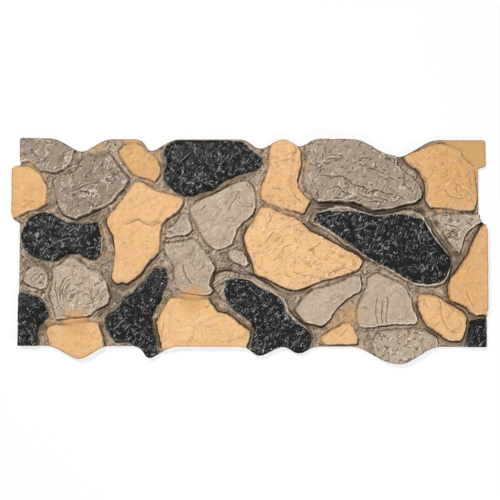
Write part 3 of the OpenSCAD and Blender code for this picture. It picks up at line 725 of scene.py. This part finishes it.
class PanelStage(bpy.types.PropertyGroup):
    """Floor, lamps and camera"""

    floor: colour("Floor", "Colour of the floor", (0.90, 0.90, 0.90))
    key: FloatProperty(name="Key", description="Power of the key lamp in watts",
                       default=100)
    fill: FloatProperty(name="Fill", description="Power of the fill lamp in watts",
                        default=14)
    sky: FloatProperty(name="Sky", description="Strength of the even light", default=0.20)
    distance: FloatProperty(name="Distance", description="Camera to panel", default=2.30,
                            subtype="DISTANCE")
    elevation: FloatProperty(name="Elevation", description="Camera over the floor",
                             default=math.radians(87.7), subtype="ANGLE")
    roll: FloatProperty(name="Roll", description="Turn of the picture",
                        default=math.radians(0.18), subtype="ANGLE")
    lens: FloatProperty(name="Lens", description="Focal length in mm", default=63.6)


class Tree:
    """A material's or world's nodes. Inputs take values or other nodes' outputs."""

    def __init__(self, name, owner=None):
        self.owner = owner or bpy.data.materials.new(name)
        self.owner.use_nodes = True
        self.nodes = self.owner.node_tree.nodes
        self.links = self.owner.node_tree.links
        self.nodes.clear()

    def add(self, kind, inputs=(), output=0, **settings):
        node = self.nodes.new("ShaderNode" + kind)
        for key, value in settings.items():
            setattr(node, key, value)
        for key, value in dict(inputs).items():
            if isinstance(value, bpy.types.NodeSocket):
                self.links.new(value, node.inputs[key])
            else:
                node.inputs[key].default_value = value
        return node.outputs[output] if output is not None else node

    def sums(self, operation, first, second=0.0, clamp=False):
        return self.add("Math", {0: first, 1: second}, operation=operation,
                        use_clamp=clamp)

    def plus(self, first, second, clamp=False):
        return self.sums("ADD", first, second, clamp)

    def less(self, first, second):
        return self.sums("SUBTRACT", first, second)

    def times(self, first, second, clamp=False):
        return self.sums("MULTIPLY", first, second, clamp)

    def most(self, first, second):
        return self.sums("MAXIMUM", first, second)

    def step(self, value, low, high):
        """0 to 1, smooth, as the value goes from low to high."""
        return self.add("MapRange", {"Value": value, "From Min": low, "From Max": high},
                        interpolation_type="SMOOTHSTEP")

    def hump(self, value, middle, width):
        """1 at the middle, 0 beyond the width on both sides."""
        away = self.sums("ABSOLUTE", self.less(value, middle))
        return self.add("MapRange", {"Value": away, "From Min": 0.0, "From Max": width,
                                     "To Min": 1.0, "To Max": 0.0},
                        interpolation_type="SMOOTHSTEP")

    def blend(self, share, first, second):
        """A number between two others."""
        return self.add("Mix", {0: share, 2: first, 3: second})

    def steps(self, value, count, slope):
        """The value in level steps with slopes between them, and masks of each step's lip and
        foot, where painted highlights and painted shade go.
        """
        value = self.times(value, count)
        part = self.sums("FRACT", value)
        rise = self.step(part, 1.0 - slope, 1.0)
        level = self.plus(self.sums("FLOOR", value), rise)
        return level, self.step(part, 0.7 * slope, 0.0), self.hump(part, 1.0 - slope, slope)

    def mix(self, share, first, second):
        node = self.add("Mix", output=None, data_type="RGBA")
        for key, value in ((0, share), (6, first), (7, second)):
            if isinstance(value, bpy.types.NodeSocket):
                self.links.new(value, node.inputs[key])
            else:
                node.inputs[key].default_value = value
        return node.outputs[2]

    def noise(self, where, size, detail=2.0, rough=0.5, twist=0.0):
        """Noise whose features are about size metres wide."""
        return self.add("TexNoise", {"Vector": where, "Scale": 1.0 / size,
                                     "Detail": detail, "Roughness": rough,
                                     "Distortion": twist})

    def turned(self, where, angle, stretch):
        """Coordinates whose patterns are stretched along the way at an angle."""
        return self.add("Mapping", {"Vector": where, "Rotation": (0, 0, angle),
                                    "Scale": (stretch, 1.0, 1.0)}, vector_type="TEXTURE")

    def looked(self):
        """1 for rays that show the background, 0 for those that light the panel."""
        ray = self.add("LightPath", output=None).outputs
        bent = self.most(ray["Is Glossy Ray"], ray["Is Transmission Ray"])
        return self.most(ray["Is Camera Ray"], bent)

    def value(self, name):
        """A number that the mesh carries."""
        return self.add("Attribute", output=2, attribute_name=name)

    def parts(self, name):
        """Red, green, blue and alpha of a colour that the mesh carries."""
        source = self.add("Attribute", output=None, attribute_name=name)
        split = self.add("SeparateColor", {"Color": source.outputs[0]}, output=None)
        return (*split.outputs[:3], source.outputs[3])


def painted_foam(paint):
    """The front's and sides' material: mortar, stones, rims, dark wash and black paint, with
    painted shade in joints, ledges and cracks and painted highlights and glints.

    Sizes of noises are in metres, and the mesh's way_in and black are in millimetres.
    """
    t = Tree("painted_foam")
    where = t.add("TexCoord", output=3)
    way_in, black, broken, wear, ink_and_shade = (
        t.value(n) for n in ("way_in", "black", "broken", "wear", "ink_and_shade"))
    is_buff, is_taupe, is_jet, tone_and_shade = t.parts("paint")
    # rim says how much a foot faces away from the key lamp, for a painted highlight and shadow
    # there
    buff_spray, black_spray, rim, border = t.parts("spray_and_shade_side")

    clouds = t.noise(where, 0.070, 3.0)
    blotches = t.noise(where, 0.016, 3.0, 0.6)
    specks = t.noise(where, 0.0035, 2.0, 0.6)
    patchy = t.noise(where, 0.013, 2.0)
    stray = t.plus(t.times(t.less(blotches, 0.5), 4.0), t.times(t.less(specks, 0.5), 2.0))
    edge = t.plus(way_in, stray)

    # Broken faces: small ledges whose lips get dry-brushed primer as a painted highlight and
    # whose feet get dark wash as painted shade
    broad, broad_lip, broad_foot = t.steps(
        t.noise(t.turned(where, math.radians(35), 1.7), 0.036, 3.0, 0.55, 0.8), 4.0, 0.14)
    small, small_lip, small_foot = t.steps(
        t.noise(t.turned(where, math.radians(58), 2.6), 0.0082, 1.0, 0.5, 0.3), 2.0, 0.17)
    torn = t.noise(t.add("VectorMath", {0: where, 1: (0.31, 0.47, 0.0)}), 0.014, 1.0)
    broad_on = t.step(patchy, 0.44, 0.50)
    small_on = t.step(torn, 0.48, 0.54)
    small_lip, small_foot = t.times(small_lip, small_on), t.times(small_foot, small_on)
    lip = t.most(t.times(broad_lip, broad_on), small_lip)
    lip = t.times(lip, broken, clamp=True)
    foot = t.most(t.times(broad_foot, broad_on), t.times(small_foot, 0.6))
    foot = t.times(foot, broken, clamp=True)

    # Mortar: brown wash with trowelled furrows along the stones, with painted shade at the feet
    # of its furrows and ledges and a painted highlight of primer on their lips
    across = t.plus(t.times(way_in, 0.15), t.plus(t.times(clouds, 1.6), t.times(blotches, 0.9)))
    furrow, furrow_lip, furrow_foot = t.steps(across, 1.0, 0.22)
    wash = t.plus(t.times(blotches, 0.6), t.times(clouds, 0.5))
    wash = t.plus(wash, t.times(t.less(specks, 0.5), 0.3))
    mortar = t.mix(t.step(wash, 0.32, 0.70), paint.mortar_deep, paint.mortar_light)
    furrow_foot_shade = t.times(furrow_foot, t.step(patchy, 0.50, 0.44))
    mortar = t.mix(t.times(furrow_foot_shade, 0.85), mortar, paint.ink_and_shade)
    # Dry-brushed primer that is also a painted highlight on the furrows' lips
    brushed = t.times(furrow_lip, t.step(patchy, 0.50, 0.58))
    mortar = t.mix(t.times(brushed, 0.55), mortar, paint.rim)
    mortar = t.mix(t.times(small_foot, 0.75), mortar, paint.ink_and_shade)
    mortar = t.mix(t.times(small_lip, 0.55), mortar, paint.rim)
    mist = t.times(is_buff, t.step(edge, -11.0, -1.0))
    mortar = t.mix(t.times(mist, 0.25), mortar, paint.buff_deep)

    # Stones: each paint between its deep and its light colour, by each stone's own colour and
    # by the painted shade that darkens the stones towards the panel's top edge
    cover = t.plus(tone_and_shade, t.times(t.less(blotches, 0.5), 0.4))
    cover = t.plus(cover, t.times(t.less(clouds, 0.5), 0.5), clamp=True)
    buff = t.mix(cover, paint.buff_deep, paint.buff_light)
    taupe = t.mix(cover, paint.taupe_deep, paint.taupe_light)
    stone = t.mix(is_taupe, buff, taupe)
    # Painted shade in the ledges' feet and a painted highlight of primer on their lips
    ledge_foot_shade = t.mix(is_taupe, paint.umber, paint.ink_and_shade)
    stone = t.mix(t.times(foot, t.blend(is_taupe, 0.65, 0.80)), stone, ledge_foot_shade)
    stone = t.mix(t.times(lip, t.blend(is_taupe, 0.55, 0.85)), stone, paint.lip)
    stone = t.mix(is_jet, stone, mortar)
    faded = t.times(t.step(edge, 14.0, 0.0), t.step(clouds, 0.35, 0.65))
    stone = t.mix(t.times(faded, 0.22), stone, paint.mortar_light)
    surface = t.mix(t.step(edge, -0.8, 0.8), mortar, stone)

    # Overspray: buff dust over everything, black soot mostly in the joints
    drift = t.times(t.less(blotches, 0.5), 0.3)
    dusted = t.step(t.plus(buff_spray, drift), 0.05, 1.0)
    surface = t.mix(dusted, surface, paint.dust)
    sooted = t.step(t.plus(black_spray, drift), 0.05, 1.0)
    sooted = t.times(sooted, t.blend(t.step(edge, 1.0, 7.0), 0.9, 0.25))
    surface = t.mix(sooted, surface, paint.ink_and_shade)

    # Creases with painted shade in them and a painted highlight beside, then a painted highlight
    # along each stone's edge and dark wash with painted shadow beside each foot
    crack_shade_colour = t.mix(is_buff, paint.ink_and_shade, paint.umber)
    surface = t.mix(t.times(t.step(wear, 0.2, 0.9), 0.85), surface, crack_shade_colour)
    crease_highlight = t.step(t.times(wear, -1.0), 0.2, 0.9)
    surface = t.mix(t.times(crease_highlight, 0.60), surface, paint.lip)
    plain = t.step(buff_spray, 0.9, 0.4)
    # Painted highlight of pale primer along the stones' broken edges, most away from the key lamp
    edge_highlight = t.step(t.plus(rim, t.times(t.less(patchy, 0.5), 1.6)), 0.35, 0.90)
    edge_highlight = t.times(t.times(t.hump(edge, 3.2, 2.0), edge_highlight), plain)
    surface = t.mix(t.times(edge_highlight, t.blend(is_buff, 0.85, 0.45)), surface, paint.rim)
    # Painted shade: the deep joints darken towards the deep mortar colour
    deep_joint_shade = t.times(t.step(edge, 0.0, -2.0), t.step(ink_and_shade, 0.45, 1.0))
    surface = t.mix(t.times(deep_joint_shade, 0.60), surface, paint.mortar_deep)
    # Dark wash and painted shadow beside each foot, heavier where the foot faces away from the
    # key lamp
    foot_wash_and_shadow = t.times(t.hump(edge, -2.3, 4.2), t.step(t.plus(ink_and_shade, t.times(rim, 0.25)), 0.05, 0.65))
    dense = t.most(t.step(clouds, 0.42, 0.58), t.step(ink_and_shade, 0.55, 0.85))
    foot_wash_and_shadow = t.times(t.times(foot_wash_and_shadow, plain), t.blend(dense, 0.28, 1.0))
    surface = t.mix(t.times(foot_wash_and_shadow, 0.95), surface, paint.ink_and_shade)
    # Darker towards the panel's outer edge
    edge_darkening = t.step(border, 0.22, 0.0)
    surface = t.mix(t.times(edge_darkening, 0.45), surface, paint.mortar_deep)

    # Black paint over everything but the outer shoulder, dry-brushed in short grey dashes that
    # also stand for painted glints on its folds and ridges
    gloss = t.step(t.plus(black, stray), -0.8, 0.9)
    folds, fold_glint, _ = t.steps(
        t.noise(t.turned(where, math.radians(40), 2.0), 0.026, 2.0, 0.5, 0.8), 4.0, 0.14)
    bristle, dash, _ = t.steps(
        t.noise(t.turned(where, math.radians(62), 3.2), 0.0060, 1.0, 0.5, 0.2), 2.0, 0.15)
    dash = t.times(dash, t.step(torn, 0.46, 0.54))
    dash = t.most(dash, t.times(fold_glint, t.step(patchy, 0.50, 0.56)))
    dash = t.most(dash, t.times(t.step(wear, -0.3, -0.9), 0.6))
    enamel = t.mix(t.times(dash, 0.8), paint.black, paint.dash)
    surface = t.mix(gloss, surface, enamel)

    # Relief too fine for the mesh, in millimetres
    cast = t.plus(t.times(broad, 1.1), t.times(small, 0.7))
    cast = t.times(cast, t.plus(t.times(is_taupe, 0.60), 0.40))
    cast = t.times(cast, broken)
    cast = t.plus(cast, t.times(specks, 0.9))
    bedded = t.plus(t.plus(furrow, small), t.times(blotches, 2.0))
    bedded = t.plus(bedded, t.times(specks, 0.8))
    bedded = t.times(bedded, plain)
    height = t.blend(t.step(edge, -1.5, 1.5), bedded, cast)
    crumpled = t.plus(folds, t.times(bristle, 0.5))
    height = t.blend(gloss, height, crumpled)
    bump = t.add("Bump", {"Height": height, "Distance": MM, "Strength": 1.0})

    matt = t.blend(gloss, 0.50, 0.42)
    shader = t.add("BsdfPrincipled", {"Base Color": surface, "Roughness": matt,
                                      "Normal": bump, "Specular IOR Level": 0.12})
    t.add("OutputMaterial", {"Surface": shader}, output=None)
    return t.owner


def raw_foam(paint):
    """The back's material: cream foam skin with a faint mottle."""
    t = Tree("raw_foam")
    where = t.add("TexCoord", output=3)
    mottle = t.step(t.noise(where, 0.030, 4.0, 0.6), 0.3, 0.7)
    pores = t.noise(where, 0.0025, 2.0, 0.6)
    pale = tuple(paint.foam)
    deep = tuple(c * 0.82 for c in pale[:3]) + (1.0,)
    bump = t.add("Bump", {"Height": t.plus(pores, mottle), "Distance": 0.3 * MM,
                          "Strength": 1.0})
    shader = t.add("BsdfPrincipled", {"Base Color": t.mix(mottle, deep, pale),
                                      "Roughness": 0.7, "Normal": bump})
    t.add("OutputMaterial", {"Surface": shader}, output=None)
    return t.owner


class STONEPANEL_OT_cast(bpy.types.Operator):
    """Cast the panel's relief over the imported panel"""

    bl_idname = "stone_panel.cast"
    bl_label = "Cast Panel"

    def execute(self, context):
        shape = context.scene.stone_panel_shape
        mould, creases = Mould(), Creases()
        size = HIGH - LOW
        across = math.ceil(size.x / shape.grid) + 2
        along = math.ceil(size.y / shape.grid) + 2
        bm = bmesh.new()
        spread = Matrix.Diagonal((across * shape.grid, along * shape.grid, 1.0, 1.0))
        bmesh.ops.create_grid(bm, x_segments=across, y_segments=along, size=0.5,
                              matrix=Matrix.Translation(MIDDLE) @ spread)
        trimmed(bm, mould, shape.grid / MM * 1.2)
        refined(bm, mould, creases, shape)
        trimmed(bm, mould, shape.grid / MM * 0.25)
        snapped(bm, mould, shape)
        raised(bm, mould, creases, shape)
        walled(bm)
        bmesh.ops.recalc_face_normals(bm, faces=bm.faces)
        for face in bm.faces:
            face.smooth = abs(face.normal.z) > 0.02 and face.material_index == 0
        mesh = bpy.data.meshes.new("stone_face")
        bm.to_mesh(mesh)
        bm.free()
        piece = bpy.data.objects.new("stone_face", mesh)
        context.scene.collection.objects.link(piece)
        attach(piece, "root")
        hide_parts(PANEL)
        return {"FINISHED"}


class STONEPANEL_OT_paint(bpy.types.Operator):
    """Paint the stones, the joints and the back"""

    bl_idname = "stone_panel.paint"
    bl_label = "Paint Panel"

    def execute(self, context):
        paint = context.scene.stone_panel_paint
        mesh = bpy.data.objects["stone_face"].data
        mesh.materials.append(painted_foam(paint))
        mesh.materials.append(raw_foam(paint))
        return {"FINISHED"}


def lamp(name, place, power, size, aim=(0.0, 0.0, 0.0)):
    """A square soft lamp that faces its aim."""
    light = bpy.data.lights.new(name, "AREA")
    light.energy, light.size = power, size
    holder = bpy.data.objects.new(name, light)
    holder.location = place
    holder.rotation_euler = (Vector(aim) - Vector(place)).to_track_quat("-Z", "Y").to_euler()
    bpy.context.scene.collection.objects.link(holder)


class STONEPANEL_OT_stage(bpy.types.Operator):
    """Lay the floor, light the panel and set the camera"""

    bl_idname = "stone_panel.stage"
    bl_label = "Set Stage"

    def execute(self, context):
        stage = context.scene.stone_panel_stage
        self.lay_floor(context, stage)
        lamp("key", (-1.0, 1.3, 3.3), stage.key, 0.4)
        lamp("fill", (0.8, -1.3, 1.6), stage.fill, 0.4)
        context.scene.world = self.studio(stage)
        self.set_camera(context, stage)
        context.scene.view_settings.view_transform = "Standard"
        return {"FINISHED"}

    @staticmethod
    def studio(stage):
        """A white surround that lights the panel only as strongly as the even light."""
        t = Tree("studio", bpy.data.worlds.new("studio"))
        strength = t.blend(t.looked(), stage.sky, 1.0)
        even = t.add("Background", {"Color": (1.0, 1.0, 1.0, 1.0), "Strength": strength})
        t.add("OutputWorld", {"Surface": even}, output=None)
        return t.owner

    @staticmethod
    def lay_floor(context, stage):
        bm = bmesh.new()
        bmesh.ops.create_grid(bm, x_segments=1, y_segments=1, size=6.0)
        mesh = bpy.data.meshes.new("floor")
        bm.to_mesh(mesh)
        bm.free()
        floor = bpy.data.objects.new("floor", mesh)
        floor.location.z = -0.2 * MM
        context.scene.collection.objects.link(floor)
        t = Tree("floor")
        plain = t.add("BsdfDiffuse", {"Color": tuple(stage.floor)})
        glow = t.add("Emission", {"Color": (1.0, 1.0, 1.0, 1.0), "Strength": 1.0})
        bright = t.add("BsdfDiffuse", {"Color": (1.0, 1.0, 1.0, 1.0)})
        seen = t.add("MixShader", {0: 0.25, 1: glow, 2: bright})
        shader = t.add("MixShader", {0: t.looked(), 1: plain, 2: seen})
        t.add("OutputMaterial", {"Surface": shader}, output=None)
        mesh.materials.append(t.owner)

    @staticmethod
    def set_camera(context, stage):
        data = bpy.data.cameras.new("camera")
        data.sensor_width, data.lens = 36.0, stage.lens
        data.clip_start, data.clip_end = 0.05, 50.0
        camera = bpy.data.objects.new("camera", data)
        aim = MIDDLE + Vector((2.3 * MM, 2.3 * MM, 22 * MM))
        back = Vector((0.0, -math.cos(stage.elevation), math.sin(stage.elevation)))
        camera.location = aim + back * stage.distance
        turn = (-back).to_track_quat("-Z", "Y").to_matrix().to_4x4()
        turn = turn @ Matrix.Rotation(stage.roll, 4, "Z")
        camera.rotation_euler = turn.to_euler()
        context.scene.collection.objects.link(camera)
        context.scene.camera = camera


class STONEPANEL_PT_sidebar(bpy.types.Panel):
    """Lists the steps and their sizes"""

    bl_label = "Stone Panel"
    bl_idname = "STONEPANEL_PT_sidebar"
    bl_space_type = "VIEW_3D"
    bl_region_type = "UI"
    bl_category = "Stone Panel"

    def draw(self, context):
        scene = context.scene
        for step, group in (
            (STONEPANEL_OT_cast, scene.stone_panel_shape),
            (STONEPANEL_OT_paint, scene.stone_panel_paint),
            (STONEPANEL_OT_stage, scene.stone_panel_stage),
        ):
            box = self.layout.box()
            box.operator(step.bl_idname)
            for name in group.__annotations__:
                box.prop(group, name)


CLASSES = (
    PanelShape, PanelPaint, PanelStage,
    STONEPANEL_OT_cast, STONEPANEL_OT_paint, STONEPANEL_OT_stage, STONEPANEL_PT_sidebar,
)


def register():
    for cls in CLASSES:
        bpy.utils.register_class(cls)
    bpy.types.Scene.stone_panel_shape = PointerProperty(type=PanelShape)
    bpy.types.Scene.stone_panel_paint = PointerProperty(type=PanelPaint)
    bpy.types.Scene.stone_panel_stage = PointerProperty(type=PanelStage)


def unregister():
    del bpy.types.Scene.stone_panel_stage
    del bpy.types.Scene.stone_panel_paint
    del bpy.types.Scene.stone_panel_shape
    for cls in reversed(CLASSES):
        bpy.utils.unregister_class(cls)


def main():
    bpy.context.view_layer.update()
    register()
    bpy.ops.stone_panel.cast()
    bpy.ops.stone_panel.paint()
    bpy.ops.stone_panel.stage()


if __name__ == "__main__":
    main()
